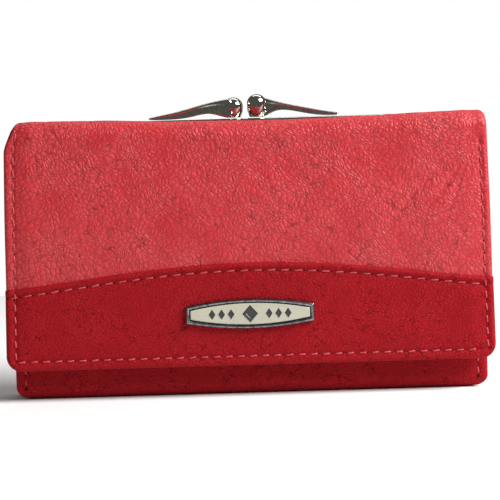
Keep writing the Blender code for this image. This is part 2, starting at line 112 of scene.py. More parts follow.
def pick(*pieces):
    """Select only these pieces, with the first one active."""
    bpy.ops.object.select_all(action="DESELECT")
    for piece in pieces:
        piece.select_set(True)
    bpy.context.view_layer.objects.active = pieces[0]


def face_out():
    """Turn all faces of the piece in edit mode outwards, and leave edit mode."""
    bpy.ops.mesh.select_all(action="SELECT")
    bpy.ops.mesh.normals_make_consistent(inside=False)
    bpy.ops.object.mode_set(mode="OBJECT")


def set_points(piece, x, y, z):
    """Put a piece's points at these places, given in millimetres, with its faces turned outwards."""
    places = np.column_stack(np.broadcast_arrays(x, y, z)) * MM
    piece.data.vertices.foreach_set("co", places.ravel())
    piece.data.update()
    pick(piece)
    bpy.ops.object.mode_set(mode="EDIT")
    face_out()
    piece.data.shade_smooth()


def flat_slab(name, across, along):
    """A closed slab of fine cells, with each point's place across (-1 to 1) and along (0 to 1), and
    whether it is on the back."""
    bpy.ops.mesh.primitive_grid_add(x_subdivisions=across, y_subdivisions=along, size=1.0)
    slab = bpy.context.object
    slab.name = name
    solid = slab.modifiers.new("thickness", "SOLIDIFY")
    solid.thickness = 0.01
    solid.offset = -1.0
    bpy.ops.object.modifier_apply(modifier=solid.name)
    points = mesh_points(slab)
    return slab, points[:, 0] * 2.0, points[:, 1] + 0.5, points[:, 2] < -0.005


def crowd_edges(across, power=1.25):
    """Move even spacing towards both ends, where a turned edge needs it."""
    return np.sign(across) * (1 - (1 - np.abs(across)) ** power)


def rolled(distance, radius=EDGE_ROLL):
    """How far a face falls back as it rolls round a turned edge."""
    inside = np.clip(distance, 0.0, radius)
    return radius - np.sqrt(np.maximum(radius ** 2 - (radius - inside) ** 2, 0.0))


def round_corner(rise, radius):
    """How far a rounded lower corner draws an outline in, at a height above its lower edge."""
    left = np.clip(radius - rise, 0.0, radius)
    return radius - np.sqrt(radius ** 2 - left ** 2)


def lower_back(x, z):
    """Where the back of the pouch lies below the hinge: a pillow, fullest low down in the middle."""
    narrowing = 12.0 * np.maximum(0.0, (z - PILLOW_Z) / 22) ** 2
    across = 1 - np.minimum(1.0, np.abs(x) / (BODY_HALF - np.minimum(narrowing, 22.0))) ** 4
    above = z - PILLOW_Z
    height = np.where(above < 0, 1 - 0.14 * (above / 19.0) ** 2, 1 - 0.83 * (above / 52.0) ** 2)
    return POUCH_FLAT_Y + PILLOW_RISE * across * height


def upper_back(x, z):
    across = 1 - np.minimum(1.0, np.abs(x) / 48.4) ** 2.5
    rise = np.clip((z - 50.0) / (BACK_TOP - 53.1), 0.0, 1.0)
    return 9.3 + 6.3 * across * (1 - rise ** 2)


def pouch_back(x, z):
    share = smooth(z, 45.0, 53.0)
    return lower_back(x, np.minimum(z, 60.0)) * (1 - share) + upper_back(x, z) * share


def body_half(z):
    """Half the panel's width: full below, drawn in over the shoulders, then the width of the frame."""
    shoulder = BODY_HALF - (BODY_HALF - JAW_HALF) * smooth(z, SHOULDER_LOW, SHOULDER_HIGH)
    frame_part = 2.3 * smooth(z, 57.5, 60.0) - 5.5 * smooth(z, BACK_TOP - 5.5, BACK_TOP + 0.5)
    return shoulder + frame_part - round_corner(z, BODY_CORNER)


def seam_pucker(along, pitch=STITCH_PITCH):
    """1 in the middle of each stitch, 0 at its needle holes."""
    return 0.5 - 0.5 * np.cos(2 * math.pi * along / pitch)


def body_relief(x, z, seed):
    """Seam channels, small folds and soft waves on the body's faces, in millimetres."""
    aside = body_half(z) - np.abs(x)
    groove = -0.28 * hump(aside, SIDE_SEAM, 0.55)
    waves = 0.28 * soft_noise(x, seed, z, 15.0) + 0.10 * soft_noise(x, seed + 5.0, z, 5.0)
    return groove + waves * smooth(aside, 2.0, 9.0) + 0.18 * smooth(aside, SIDE_SEAM, SIDE_SEAM + 4.0)


def body_path(t, x):
    """The panel's centre-line from the front's top edge, under the base and up the back. Returns y, z
    and the outward direction there."""
    down, toe, under, heel, up = (
        (t - start) / (end - start) for start, end in zip(PATH_JOINS, PATH_JOINS[1:])
    )
    toe = toe * math.pi / 2
    heel = heel * math.pi / 2
    rise = HEEL_BEND + (BACK_TOP - HEEL_BEND) * up
    toe_y = BODY_LOW.y + FRONT_BEND
    heel_y = lower_back(x, HEEL_BEND) - HEEL_BEND
    parts = [t < end for end in PATH_JOINS[1:-1]]
    y = np.select(parts, [
        BODY_LOW.y, toe_y - FRONT_BEND * np.cos(toe), toe_y + (heel_y - toe_y) * under,
        heel_y + HEEL_BEND * np.sin(heel),
    ], pouch_back(x, rise))
    z = np.select(parts, [
        BODY_FRONT_TOP - (BODY_FRONT_TOP - FRONT_BEND) * down, FRONT_BEND - FRONT_BEND * np.sin(toe), 0.0,
        HEEL_BEND - HEEL_BEND * np.cos(heel),
    ], rise)
    out_y = np.select(parts, [-1.0, -np.cos(toe), 0.0, np.sin(heel)], 1.0)
    out_z = np.select(parts, [0.0, -np.sin(toe), -1.0, -np.cos(heel)], 0.0)
    return y, z, out_y, out_z


def body_leather():
    slab, across, along, behind = flat_slab("body_hide", 170, 190)
    x = crowd_edges(across, 1.35) * BODY_HALF
    for _ in range(3):
        y, z, out_y, out_z = body_path(along, x)
        x = crowd_edges(across, 1.35) * body_half(z)
    aside = body_half(z) - np.abs(x)
    in_front = along < 0.3
    top = np.where(in_front, BODY_FRONT_TOP - z, BACK_TOP + 0.4 - z)
    roll = rolled(aside) + rolled(top, 0.6)
    relief = body_relief(x, z, np.where(in_front, FRONT_SEED, BACK_SEED)) * smooth(z, 1.0, 6.0)
    face = relief - roll - 0.15
    lining_side = np.minimum(-BODY_THICK - 0.9 * (1 - smooth(aside, 2.0, 5.0)) + 1.2 * roll, face - 0.08)
    height = np.where(behind, lining_side, face)
    set_points(slab, x, y + height * out_y, np.maximum(z + height * out_z, 0.02))
    return slab


class Wire:
    """One output of a material's nodes: arithmetic on wires adds the Math nodes that work it out."""

    def __init__(self, finish, socket):
        self.finish = finish
        self.socket = socket

    def math(self, operation, first, second=0.0):
        return self.finish.add("ShaderNodeMath", {"operation": operation}, {0: first, 1: second})

    def __add__(self, other):
        return self.math("ADD", self, other)

    __radd__ = __add__

    def __sub__(self, other):
        return self.math("SUBTRACT", self, other)

    def __rsub__(self, other):
        return self.math("SUBTRACT", other, self)

    def __mul__(self, other):
        return self.math("MULTIPLY", self, other)

    __rmul__ = __mul__

    def sine(self):
        return self.math("SINE", self)


class Finish:
    """A material on one Principled shader. Fixed numbers are set on the shader, and patterns are laid
    out in millimetres."""

    def __init__(self, name, **fixed):
        self.material = bpy.data.materials.new(name)
        self.material.use_nodes = True
        self.tree = self.material.node_tree
        self.shader = self.tree.nodes["Principled BSDF"]
        for socket, value in fixed.items():
            self.shader.inputs[socket.replace("_", " ")].default_value = value
        place = self.add("ShaderNodeTexCoord", out="Object")
        self.place = self.stretched(place, (1 / MM, 1 / MM, 1 / MM))

    def add(self, kind, settings=None, inputs=None, out=0):
        """Add one node: its settings first, then the value or wire of each socket. Returns one output."""
        node = self.tree.nodes.new(kind)
        for name, value in (settings or {}).items():
            setattr(node, name, value)
        for name, value in (inputs or {}).items():
            if isinstance(value, Wire):
                self.tree.links.new(value.socket, node.inputs[name])
            else:
                node.inputs[name].default_value = value
        return Wire(self, node.outputs[out])

    def feed(self, **wires):
        for socket, wire in wires.items():
            self.tree.links.new(wire.socket, self.shader.inputs[socket.replace("_", " ")])

    def stretched(self, vector, scale, turn=(0, 0, 0)):
        return self.add("ShaderNodeMapping", None, {"Vector": vector, "Scale": scale, "Rotation": turn})

    def noise(self, vector, size, detail=2.0, out=0):
        """Soft noise whose spots are about size millimetres across."""
        return self.add("ShaderNodeTexNoise", None,
                        {"Vector": vector, "Scale": 1 / size, "Detail": detail}, out)

    def cells(self, vector, size):
        """The distance from the nearest edge between cells that are about size millimetres across."""
        return self.add("ShaderNodeTexVoronoi", {"feature": "DISTANCE_TO_EDGE"},
                        {"Vector": vector, "Scale": 1 / size}, out="Distance")

    def step(self, value, low, high):
        """0 below low, 1 above high, and an even S between them."""
        return self.add("ShaderNodeMapRange", {"interpolation_type": "SMOOTHSTEP"},
                        {"Value": value, "From Min": low, "From Max": high})

    def blend(self, share, first, second):
        """The colour first, going over to second as share goes from 0 to 1."""
        return self.add("ShaderNodeMix", {"data_type": "RGBA"}, {0: share, 6: first, 7: second}, out=2)

    def warped(self, vector, size, amount):
        """The same place, pushed about by soft noise."""
        push = self.noise(vector, size, out="Color")
        centred = self.add("ShaderNodeVectorMath", {"operation": "SUBTRACT"}, {0: push, 1: (0.5, 0.5, 0.5)})
        scaled = self.add("ShaderNodeVectorMath", {"operation": "SCALE"}, {0: centred, "Scale": amount})
        return self.add("ShaderNodeVectorMath", {"operation": "ADD"}, {0: vector, 1: scaled})

    def bump(self, height, distance):
        return self.add("ShaderNodeBump", None, {"Height": height, "Distance": distance * MM})


def shade(colour, tone=1.0):
    return tuple(channel * tone for channel in colour) + (1.0,)


RED = (0.49, 0.011, 0.018)
RED_PALE = (0.58, 0.018, 0.027)
# A paler, greyer red for the flap's pale patches: painted sheen.
RED_PAINTED_SHEEN = (0.58, 0.042, 0.050)
# A dark red that colours the grain's creases: painted shade.
RED_CREASE_SHADE = (0.20, 0.002, 0.005)
SLANT = 40.0


def red_leather(name, cell, depth, tone=1.0, lie=SLANT, long=2.4, gloss=0.5, pale=RED_PALE):
    """Drum-dyed hide with a pebbled grain, its cells about cell millimetres across. Longer creases lie
    at the angle lie, from upright. The creases are coloured darker as painted shade. The tone darkens the
    whole hide, which on the body and band is painted shade, and a greyer pale colour makes the pale
    patches painted sheen."""
    finish = Finish(name, Specular_IOR_Level=gloss)
    wandering = finish.warped(finish.place, 16.0, 9.0)
    turned_place = finish.stretched(wandering, (1.0, 1.0, 1.0), (0.0, math.radians(lie), 0.0))
    curly = finish.warped(turned_place, 2.4 * cell, 0.8 * cell)
    patchy = finish.noise(finish.place, 11.0, 3.0)
    faint = finish.noise(finish.place, 2.6, 2.0)
    edge = finish.cells(finish.stretched(curly, (1.0, 1.0, 0.85)), cell)
    long_edge = finish.cells(finish.stretched(curly, (1.0, 1.0, 1 / long)), 2.3 * cell)
    pebble = finish.step(edge, 0.0, 0.34)
    deep_here = finish.step(faint * 0.6 + patchy * 0.4, 0.44, 0.66)
    streak = (1 - finish.step(long_edge, 0.0, 0.06)) * deep_here
    grit = finish.noise(finish.place, 0.30, 3.0)
    height = pebble * (0.55 + 0.5 * patchy) + 0.06 * grit - 0.6 * streak
    # The crease lines below darken the colour: painted shade in the creases.
    crease_shade = (1 - finish.step(edge, 0.0, 0.10)) * (0.50 + 0.5 * deep_here)
    dark = finish.add("ShaderNodeMath", {"operation": "MAXIMUM"}, {0: crease_shade, 1: streak})
    # Random pale patches: a lighter tone on every hide; on the flap their greyer red is painted sheen as
    # well.
    worn = finish.step(patchy * 0.7 + grit * 0.3, 0.20, 0.66)
    dyed = finish.blend(worn, shade(RED, tone), shade(pale, tone))
    finish.feed(
        Base_Color=finish.blend(dark * 0.9, dyed, shade(RED_CREASE_SHADE, tone)),
        Roughness=0.40 + 0.12 * patchy + 0.20 * dark,
        Normal=finish.bump(height, depth),
    )
    return finish.material


def lay(piece, material, slot, *nodes):
    """Give a piece its finish and put it in place of these CAD nodes."""
    piece.data.materials.append(material)
    if nodes:
        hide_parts(*nodes)


# The body, pockets and pouch front take the flap's red, darkened by a tone of 0.60: painted shade.
shaded_body_grain = red_leather("shaded_body_grain", 0.95, 0.12, 0.60, lie=25.0, gloss=0.04)
body = body_leather()
lay(body, shaded_body_grain, "body_leather", "outer_leather", "pouch_back_fold", "pouch_back_upper")
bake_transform(body)


# ---- Card pockets ----
# Two strips of the body hide stand stepped behind the front, each with a turned and creased upper edge.
# Behind them a twill lining closes the pockets.

POCKET_HALF = 69.0
POCKET_WAVES = 20.0


def pocket_sheet(name, node, thick, turned, half=POCKET_HALF):
    """A flat panel of the node's size, with soft waves, round edges and, if turned, a doubled lip."""
    low, high = corners(node)
    slab, across, along, behind = flat_slab(name, 96, 60)
    x = crowd_edges(across, 1.2) * half
    z = low.z + (high.z - low.z) * (0.5 + 0.5 * crowd_edges(2 * along - 1, 1.3))
    edge = np.minimum(half - np.abs(x), high.z - z)
    middle = (low.y + high.y) / 2
    waves = 0.10 * soft_noise(x, low.y, z, POCKET_WAVES)
    lip = 0.12 * hump(high.z - z, 1.2, 1.0) - 0.16 * hump(high.z - z, 2.6, 0.35) if turned else 0.0
    roll = rolled(edge, 0.45 * thick)
    height = np.where(behind, -thick / 2 + roll, thick / 2 - roll + lip)
    set_points(slab, x, middle + waves - height, z)
    return slab, (2 * half * MM, (high.z - low.z) * MM)


POCKETS = {"card_pocket_middle": "card_pocket_lower", "card_pocket_upper": "card_pocket_higher"}
for node, name in POCKETS.items():
    strip, _ = pocket_sheet(name, node, 0.6, True)
    lay(strip, shaded_body_grain, "body_leather", node)
    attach(strip, "root")


LINING = (0.080, 0.010, 0.016)
LINING_PALE = (0.15, 0.022, 0.032)


def twill():
    """Fine polyester twill: raised threads on the slant, crossed by finer ones."""
    finish = Finish("twill_lining", Sheen_Weight=0.08, Sheen_Roughness=0.5)
    x_part, y_part, z_part = (
        finish.add("ShaderNodeSeparateXYZ", None, {0: finish.warped(finish.place, 7.0, 0.25)}, out=axis)
        for axis in ("X", "Y", "Z")
    )
    slant = ((x_part + y_part + z_part) * (2 * math.pi / 0.75)).sine() * 0.5 + 0.5
    cross = ((x_part - y_part - z_part) * (2 * math.pi / 0.42)).sine() * 0.5 + 0.5
    worn = finish.noise(finish.place, 11.0, 3.0)
    weave = slant * 0.7 + cross * slant * 0.3
    tone = finish.step(weave * 0.7 + worn * 0.5, 0.25, 0.95)
    finish.feed(
        Base_Color=finish.blend(tone, shade(LINING), shade(LINING_PALE)),
        Roughness=0.88 - 0.2 * weave,
        Normal=finish.bump(weave, 0.07),
    )
    return finish.material


lining = twill()
wall_lining, cut = pocket_sheet("front_lining", "front_wall_lining", 0.6, False)
lay(wall_lining, lining, "lining", "front_wall_lining")
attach(wall_lining, "root")


# ---- Note gussets ----
# At each side of the note space a narrow strip of lining is folded inwards like a bellows, so that the
# front and the middle wall can part.

SIDES = ((-1, "left"), (1, "right"))
for side, side_name in SIDES:
    node = "note_gusset_" + side_name
    low, high = corners(node)
    gusset, across, along, behind = flat_slab("note_bellows_" + side_name, 16, 60)
    z = low.z + (high.z - low.z) * along
    depth = (low.y + high.y) / 2 + across * (high.y - low.y - 0.5) / 2
    fold = 4.0 * (1 - np.abs(across) ** 1.6) + 0.25 * soft_noise(depth, side, z, 6.0)
    outer = max(-low.x, high.x) - 0.6
    set_points(gusset, side * (outer - fold - 0.4 * behind), depth, z)
    lay(gusset, lining, "lining", node)
    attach(gusset, "root")


# ---- Flap leather ----
# One hide panel, turned over a board at its sides and lower edge. It is cut and turned flat, then folded
# over the purse's front corner, where it runs back to the middle of the top.

FLAP_LOW, FLAP_HIGH = corners("flap_leather")
SPINE_LOW, SPINE_HIGH = corners("spine_leather")

FOLD_RADIUS = 5.0
FOLD_TOP = SPINE_HIGH.z
FOLD_START = FOLD_TOP - FOLD_RADIUS
FOLD_LENGTH = FOLD_RADIUS * math.pi / 2
TOP_MIDDLE = (SPINE_LOW.y + SPINE_HIGH.y) / 2
FLAP_HALF = FLAP_HIGH.x
FOLD_HALF = SPINE_HIGH.x
FLAP_CORNER = 4.5
FLAP_THICK = 2.3
SEAM_LEFT = 2.8
SEAM_RIGHT = 2.3
SEAM_BOTTOM = 2.7
SEAM_RIGHT_TOP = 74.5
SEAM_DEPTH = 0.30
BELLY_FOOT = 30.0
BELLY_HEIGHT = 48.0
# Creases that fan out from the right seam's end: bearing in degrees, width, length and strength
FAN_POINT = (69.0, 75.0)
FAN_CREASES = (
    (188, 1.5, 20, 0.5), (198, 1.8, 26, 0.8), (206, 1.5, 36, 1.0), (213, 1.5, 44, 0.9),
    (221, 1.8, 46, 1.0), (231, 1.8, 36, 0.8), (243, 2.2, 26, 0.7), (254, 2.2, 18, 0.6),
)


def edge_distance(x, z, half, low, corner):
    """How far a point lies inside an outline with round lower corners and an open top."""
    aside = np.abs(x) - (half - corner)
    below = (low + corner) - z
    round_part = corner - np.hypot(np.maximum(aside, 0), np.maximum(below, 0))
    return np.where((aside > 0) & (below > 0), round_part, np.minimum(half - np.abs(x), z - low))


def flap_half(z):
    share = np.clip((z - FLAP_LOW.z) / (FOLD_TOP - FLAP_LOW.z), 0.0, 1.0)
    return FLAP_HALF + (FOLD_HALF - FLAP_HALF) * share


def seam_grooves(x, z):
    """The shallow channels that the flap's three seams pull into it, deeper at each needle hole."""
    half = flap_half(z)
    above = smooth(z, FLAP_LOW.z + SEAM_BOTTOM - 1, FLAP_LOW.z + SEAM_BOTTOM)
    pull_up = 0.75 + 0.45 * (1 - seam_pucker(z - FLAP_LOW.z - SEAM_BOTTOM))
    left = hump(x + half, SEAM_LEFT, 0.6) * above * pull_up
    right = hump(half - x, SEAM_RIGHT, 0.6) * above * pull_up
    right = right * (1 - smooth(z, SEAM_RIGHT_TOP, SEAM_RIGHT_TOP + 2.0))
    pull_along = 0.75 + 0.45 * (1 - seam_pucker(x + FLAP_HALF - SEAM_LEFT))
    bottom = hump(z - FLAP_LOW.z, SEAM_BOTTOM, 0.6) * (1 - smooth(np.abs(x), half - 3.2, half - 2.2))
    return np.maximum(np.maximum(left, right), bottom * pull_along)


def pull_creases(x, z):
    """Creases that fan down and inwards from where the right seam ends."""
    aside, above = x - FAN_POINT[0], z - FAN_POINT[1]
    ray = np.hypot(aside, above)
    angle = np.degrees(np.arctan2(above, aside)) % 360
    depth = np.zeros_like(x)
    for bearing, spread, reach, strength in FAN_CREASES:
        wander = bearing + 2.5 * np.sin(ray / 6.0 + bearing)
        line = hump(angle, wander, spread * (1 + 5.0 / (ray + 2.0)))
        depth += strength * line * hump(ray, 0.45 * reach, 0.5 * reach)
    return depth


def slant_creases(x, z):
    """Long, shallow creases that run from the upper left to the lower right of the panel."""
    along = x * 0.72 - z * 0.69
    across = x * 0.69 + z * 0.72
    wander = soft_noise(along, across * 0.6, 0.0, 16.0)
    ridges = np.abs(soft_noise(across + 2.5 * wander, along * 0.22, 7.0, 4.2))
    return 1 - smooth(ridges, 0.0, 0.16)


def belly(z):
    return np.sin(np.pi * np.clip((z - BELLY_FOOT) / BELLY_HEIGHT, 0, 1)) ** 2


def flap_relief(x, z):
    """How far the flap's face stands proud of its board: padding, seams, creases and a low belly."""
    inside = edge_distance(x, z, flap_half(z), FLAP_LOW.z, FLAP_CORNER)
    padding = 0.45 * smooth(inside, SEAM_BOTTOM, SEAM_BOTTOM + 5.0)
    waves = 0.30 * soft_noise(x, 0.0, z, 17.0) * smooth(inside, 3.0, 12.0)
    calm = smooth(inside, 3.5, 7.0)
    creases = 0.30 * pull_creases(x, z) * calm + 0.10 * slant_creases(x, z) * calm
    return padding + belly(z) + waves - creases - SEAM_DEPTH * seam_grooves(x, z)


def fold_sag(x, z):
    """The top sinks a little between the frame's ends, and its outer ends are rounded off."""
    dip = 1.5 * np.cos(np.clip((x - 8.0) / 150.0, -0.5, 0.5) * math.pi) ** 2
    left_end = 2.0 * smooth(-x, FOLD_HALF - 3.5, FOLD_HALF) ** 2
    right_end = 0.8 * smooth(x, FOLD_HALF - 2.5, FOLD_HALF) ** 2
    return dip * smooth(z, 56.0, 82.0) + (left_end + right_end) * smooth(z, 72.0, 83.0)


def folded(x, height, along, face_y, facing, radius=FOLD_RADIUS):
    """Lay flat leather up a face, round the corner at the top and in over the purse, in millimetres."""
    centre_y = face_y - facing * radius
    corner_z = FOLD_TOP - radius
    turn = np.clip((along - corner_z) / radius, 0.0, math.pi / 2)
    beyond = np.clip(along - corner_z - radius * math.pi / 2, 0.0, None)
    reach = radius + height
    y = centre_y + facing * (reach * np.cos(turn) - beyond)
    z = np.minimum(along, corner_z) + reach * np.sin(turn)
    drawn_in = 1.6 * smooth(z, FOLD_TOP - 9.0, FOLD_TOP) * smooth(-x, FOLD_HALF - 14.0, FOLD_HALF)
    return x + drawn_in, y, z - fold_sag(x, z)


def to_middle(face_y):
    """The length of hide from the standing surface up a face and in to the middle of the top."""
    return FOLD_START + FOLD_LENGTH + abs(TOP_MIDDLE - face_y) - FOLD_RADIUS


def flap_leather():
    slab, across, along, behind = flat_slab("flap_hide", 260, 150)
    length = to_middle(FLAP_LOW.y) - FLAP_LOW.z
    run = FLAP_LOW.z + length * along ** 1.2
    straight_half = flap_half(run)
    x = crowd_edges(across) * (straight_half - round_corner(run - FLAP_LOW.z, FLAP_CORNER))
    inside = edge_distance(x, run, straight_half, FLAP_LOW.z, FLAP_CORNER)
    calm_top = 1 - smooth(run, FOLD_START + FOLD_LENGTH - 2.0, FOLD_START + FOLD_LENGTH + 1.0)
    relief = flap_relief(x, run) * calm_top
    face = relief - rolled(inside)
    under_board = 0.6 * (relief + SEAM_DEPTH * seam_grooves(x, run) * calm_top)
    back = np.minimum(-FLAP_THICK + under_board + rolled(inside), face - 0.05)
    set_points(slab, *folded(x, np.where(behind, back, face), run, FLAP_LOW.y, -1))
    return slab


# The flap's pale patches take the greyer red: painted sheen.
flap_grain = red_leather("flap_grain", 1.22, 0.13, 0.95, gloss=0.4, pale=RED_PAINTED_SHEEN)
flap = flap_leather()
lay(flap, flap_grain, "flap_leather", "flap_leather")
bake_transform(flap)


# ---- Middle wall leather ----
# The same hide stands behind the notes, in front of the coin pouch. At the top it folds forwards and
# meets the flap's hide in the middle, so that the two are one skin there.

WALL_LOW, WALL_HIGH = corners("middle_wall")


def wall_leather(name, half, low_z, face_y, outer, inner, top_trim):
    """A panel up the purse's middle wall and forwards over its top, between two depths of the skin."""
    slab, across, along, behind = flat_slab(name, 120, 120)
    length = to_middle(face_y) - low_z - top_trim
    run = low_z + length * along
    x = crowd_edges(across, 1.3) * half
    roll = rolled(np.minimum(half - np.abs(x), run - low_z), 0.45 * (outer - inner))
    bend = soft_noise(x, 22.0, run, 18.0) * 0.15 * (1 - smooth(run, FOLD_START - 4, FOLD_START))
    height = np.where(behind, inner + roll, outer - roll) + bend
    set_points(slab, *folded(x, height, run, face_y, 1))
    return slab, (2 * half * MM, length * MM)


wall, _ = wall_leather("wall_hide", FOLD_HALF, WALL_LOW.z, WALL_HIGH.y, 0.0, -1.0, 0.0)
lay(wall, flap_grain, "flap_leather", "middle_wall", "spine_leather")
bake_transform(wall)

LINING_TRIM = 0.2
wall_twill, cut = wall_leather(
    "wall_twill", FOLD_HALF - 1.8, WALL_LOW.z, WALL_HIGH.y, -1.15, -1.75, LINING_TRIM)
lay(wall_twill, lining, "lining", "middle_wall_lining")
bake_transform(wall_twill)


# ---- Flap lining ----
# Twill covers the inside of the flap, a little short of its edges. It is glued down to the board and
# follows the hide round the fold.


def flap_twill():
    slab, across, along, behind = flat_slab("flap_twill", 110, 110)
    low_z = FLAP_LOW.z + 1.2
    length = to_middle(FLAP_LOW.y) - low_z - LINING_TRIM
    run = low_z + length * along
    half = flap_half(run) - 1.4
    x = crowd_edges(across, 1.2) * half
    roll = rolled(edge_distance(x, run, half, low_z, 3.5), 0.25)
    quilt = 0.10 * soft_noise(x, 61.0, run, 14.0)
    height = np.where(behind, -FLAP_THICK - 0.75 + roll, -FLAP_THICK - 0.12 - roll) + quilt - 0.1
    set_points(slab, *folded(x, height, run, FLAP_LOW.y, -1))
    return slab, (2 * (FLAP_HALF - 1.8) * MM, length * MM)


flap_inside, cut = flap_twill()
lay(flap_inside, lining, "lining", "flap_lining", "spine_lining")
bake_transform(flap_inside)


# ---- Overlay band ----
# A second layer of the same hide over the flap's lower part. Its arched top edge is turned under, which
# leaves a smooth raised lip above the seam that holds it down.

BAND_SIDE_Z = 33.6
BAND_RISE = 6.4
BAND_THICK = 0.85
BAND_OVERHANG = 0.15
LIP = 2.3
ARC_PITCH = 4.0


def band_top(x):
    return BAND_SIDE_Z + BAND_RISE * np.cos(np.clip(x / FLAP_HALF, -1, 1) * math.pi / 2) ** 1.2


def band_face(x, z):
    """The band's face over the flap's: a rounded lip, a seam channel, and a flat field below."""
    below_edge = band_top(x) - z
    lip = 0.35 * hump(below_edge, 0.9, 0.9) - rolled(below_edge, 0.8)
    pull = 0.75 + 0.5 * (1 - seam_pucker(x, ARC_PITCH))
    channel = -0.32 * hump(below_edge, LIP, 0.55) * pull
    field = 0.12 * smooth(below_edge, LIP + 0.6, LIP + 4.0) + 0.14 * soft_noise(x, 3.0, z, 12.0)
    inside = edge_distance(x, z, flap_half(z) + BAND_OVERHANG, FLAP_LOW.z - BAND_OVERHANG, FLAP_CORNER)
    padding = 0.32 * smooth(inside, SEAM_BOTTOM, SEAM_BOTTOM + 5.0)
    return BAND_THICK + lip + channel + field + padding + belly(z) - SEAM_DEPTH * seam_grooves(x, z)


def overlay_band():
    slab, across, along, behind = flat_slab("overlay_band", 260, 84)
    low = FLAP_LOW.z - BAND_OVERHANG
    crowded = 0.5 + 0.5 * crowd_edges(2 * along - 1, 1.35)
    x = crowd_edges(across) * FLAP_HALF
    for _ in range(2):
        run = low + (band_top(x) - low) * crowded
        straight_half = flap_half(run) + BAND_OVERHANG
        x = crowd_edges(across) * (straight_half - round_corner(run - low, FLAP_CORNER))
    run = low + (band_top(x) - low) * crowded
    roll = rolled(edge_distance(x, run, straight_half, low, FLAP_CORNER), EDGE_ROLL + 0.1)
    face = band_face(x, run) - roll
    back = np.minimum(0.6 * belly(run) - 1.3 * roll, face - 0.08)
    set_points(slab, x, FLAP_LOW.y - np.where(behind, back, face), run)
    return slab


band = overlay_band()
# The band takes the flap's red, darkened by a tone of 0.58: painted shade.
shaded_band_grain = red_leather("shaded_band_grain", 0.90, 0.11, 0.58, lie=80.0, long=2.0, gloss=0.05)
lay(band, shaded_band_grain, "band_leather", "flap_band")
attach(band, "flap")


# ---- Coin pouch ----
# A hide panel forms the pouch's front, with twill inside it and inside the back. Between the frame's
# legs the sides are closed by pleated gussets, which spread like a fan when the frame opens.

PANEL_LOW, PANEL_HIGH = corners("pouch_front")
PANEL_MOST_HALF = 68.0
TWILL_FOOT = 3.2
TWILL_INNER_Y = 6.25
FAN_TUCK = 3.0
FAN_OUTER = 46.3


def cloth_size(half, z):
    """The flat width and length of a shaped panel in metres, and its area."""
    length = float(z.max() - z.min()) * MM
    return (2 * float(half.max()) * MM, length), 2 * float(half.mean()) * MM * length


def pouch_panel(name, outer, inner, trim, cells):
    """A panel in front of the pouch between two depths, trimmed in from the outline all round."""
    slab, across, along, behind = flat_slab(name, cells, cells)
    z = PANEL_LOW.z + trim + (PANEL_HIGH.z - 0.6 - PANEL_LOW.z - 2 * trim) * along
    half = np.minimum(body_half(z), PANEL_MOST_HALF) - trim
    x = crowd_edges(across, 1.2) * half
    roll = rolled(np.minimum(half - np.abs(x), z - PANEL_LOW.z - trim), 0.45 * (inner - outer))
    waves = 0.12 * soft_noise(x, outer, z, 16.0)
    set_points(slab, x, np.where(behind, inner - roll, outer + roll) + waves, z)
    return slab, *cloth_size(half, z)


panel, _, _ = pouch_panel("pouch_front_hide", PANEL_LOW.y + 0.1, PANEL_HIGH.y - 0.1, 0.0, 110)
lay(panel, shaded_body_grain, "body_leather", "pouch_front")
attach(panel, "root")

panel_lining, cut, area = pouch_panel("pouch_front_twill", 5.05, 5.55, 1.6, 90)
lay(panel_lining, lining, "lining", "pouch_front_lining")
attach(panel_lining, "root")


def pouch_back_twill():
    slab, across, along, behind = flat_slab("pouch_back_twill", 90, 110)
    z = TWILL_FOOT + (BACK_TOP - 2.0 - TWILL_FOOT) * along
    half = np.minimum(body_half(z) - 1.8, 62.0)
    x = crowd_edges(across, 1.1) * half
    y = pouch_back(x, np.maximum(z, HEEL_BEND)) - 2.0 - 1.5 * (1 - smooth(z, 3.0, 9.0))
    y = np.maximum(y + 0.15 * soft_noise(x, 80.0, z, 12.0), TWILL_INNER_Y)
    set_points(slab, x, y - np.where(behind, 0.4, 0.0), z)
    return slab, *cloth_size(half, z)


back_twill, cut, area = pouch_back_twill()
lay(back_twill, lining, "lining", "pouch_lining_lower", "pouch_lining_upper")
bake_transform(back_twill)

for side, side_name in SIDES:
    node = "pouch_gusset_" + side_name
    low, high = corners(node)
    length = high.z - low.z + FAN_TUCK
    fan, across, along, behind = flat_slab("pouch_fan_" + side_name, 28, 60)
    z = low.z - FAN_TUCK + length * along
    y = (low.y + high.y) / 2 + across * ((high.y - low.y) / 2 + 0.35)
    deep = 1.0 + 5.5 * (z - HINGE_Z) / (high.z - HINGE_Z)
    x = FAN_OUTER - deep * (1 - np.abs(across) ** 1.4) - 0.35 * behind
    set_points(fan, side * x, y, z)
    lay(fan, lining, "lining", node)
    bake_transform(fan)


# ---- Frame ----
# Two nickel-plated steel channels, bent to the same shape, hold the pouch's leather in their mouths.
# They turn on a rivet at the foot of each leg.


def drawn_through(name, rings):
    """A solid drawn out step by step: a filled circle takes the first ring's shape, and each extrusion
    of it the next one's, in millimetres."""
    bpy.ops.object.select_all(action="DESELECT")
    bpy.ops.mesh.primitive_circle_add(vertices=len(rings[0]), fill_type="NGON")
    piece = bpy.context.object
    piece.name = name
    piece.data.vertices.foreach_set("co", (np.array(rings[0], dtype=float) * MM).ravel())
    bpy.ops.object.mode_set(mode="EDIT")
    bpy.ops.mesh.select_all(action="SELECT")
    for ring in rings[1:]:
        bpy.ops.mesh.extrude_region_move()
        drawn = bmesh.from_edit_mesh(piece.data)
        leading = [vertex for vertex in drawn.verts if vertex.select]
        for vertex, place in zip(leading, ring):
            vertex.co = Vector(place) * MM
    bmesh.update_edit_mesh(piece.data)
    face_out()
    return piece


